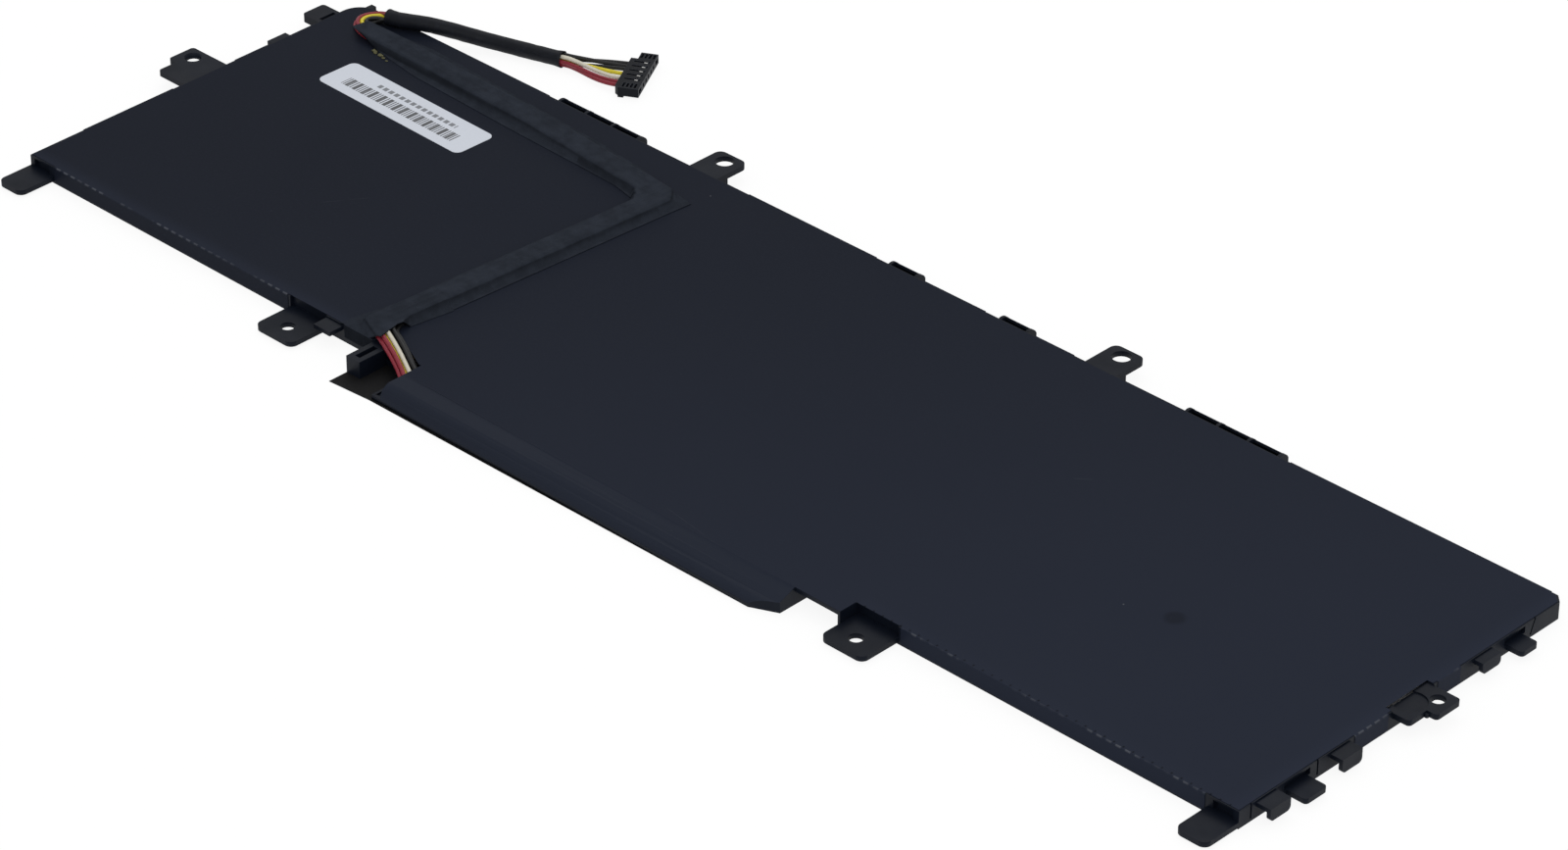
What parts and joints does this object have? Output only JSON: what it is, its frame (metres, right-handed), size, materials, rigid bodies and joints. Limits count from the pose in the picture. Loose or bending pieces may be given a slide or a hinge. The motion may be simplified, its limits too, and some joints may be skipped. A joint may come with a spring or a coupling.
{
  "type": "laptop battery",
  "caption": "Flat laptop battery pack with pouch cells in a thin frame, screw tabs, hooks and a taped wire harness ending in a flat plug.",
  "frame": {"origin": "centre of the main rectangle's underside", "axes": "+X along the length, from the end where the harness leaves to the far end; +Y from the board bay's edge to the edge with the clips; +Z out of the top film"},
  "size_m": [0.337, 0.1321, 0.0073],
  "materials": {
    "frame_plastic": "fine matt moulded",
    "cover_film": "satin",
    "paper": "matt black",
    "pouch": "satin laminate",
    "foam_tape": "matt",
    "insulator": "amber film",
    "nickel": "satin",
    "board": "solder resist",
    "component": "moulded epoxy",
    "ceramic_part": "matt",
    "solder": "bright",
    "red_insulation": "satin",
    "black_insulation": "satin",
    "white_insulation": "satin",
    "yellow_insulation": "satin",
    "sleeve": "satin",
    "cloth_tape": "fine weave",
    "label_paper": "satin",
    "plug_plastic": "satin",
    "contact": "bright"
  },
  "bodies": {
    "root": {"adhesive_pad_1": "foam_tape", "adhesive_pad_2": "foam_tape", "adhesive_pad_3": "foam_tape", "adhesive_pad_4": "foam_tape", "barrier_paper": "paper", "bottom_film": "cover_film", "bus_strip_1": "nickel", "bus_strip_2": "nickel", "bus_strip_3": "nickel", "bus_strip_minus": "nickel", "bus_strip_plus": "nickel", "capacitors": "ceramic_part", "cell_1": "pouch", "cell_1_minus_lead": "nickel", "cell_1_plus_lead": "nickel", "cell_2": "pouch", "cell_2_minus_lead": "nickel", "cell_2_plus_lead": "nickel", "cell_3": "pouch", "cell_3_minus_lead": "nickel", "cell_3_plus_lead": "nickel", "cell_4": "pouch", "cell_4_minus_lead": "nickel", "cell_4_plus_lead": "nickel", "frame": "frame_plastic", "fuse": "component", "gauge_chip": "component", "insulating_strip": "insulator", "label": "label_paper", "plug_contacts": "contact", "plug_housing": "plug_plastic", "protection_board": "board", "protection_chip": "component", "shunt_resistor": "ceramic_part", "solder_joints": "solder", "switch_transistors": "component", "tape_corner": "cloth_tape", "tape_cross_strip": "cloth_tape", "tape_end_strip": "cloth_tape", "tape_middle_strip": "cloth_tape", "tape_notch_patch": "cloth_tape", "thermistor": "insulator", "top_film": "cover_film", "wire_black_1": "black_insulation", "wire_black_2": "black_insulation", "wire_black_3": "black_insulation", "wire_red_1": "red_insulation", "wire_red_2": "red_insulation", "wire_sleeve": "sleeve", "wire_white": "white_insulation", "wire_yellow": "yellow_insulation"}
  },
  "joints": []
}
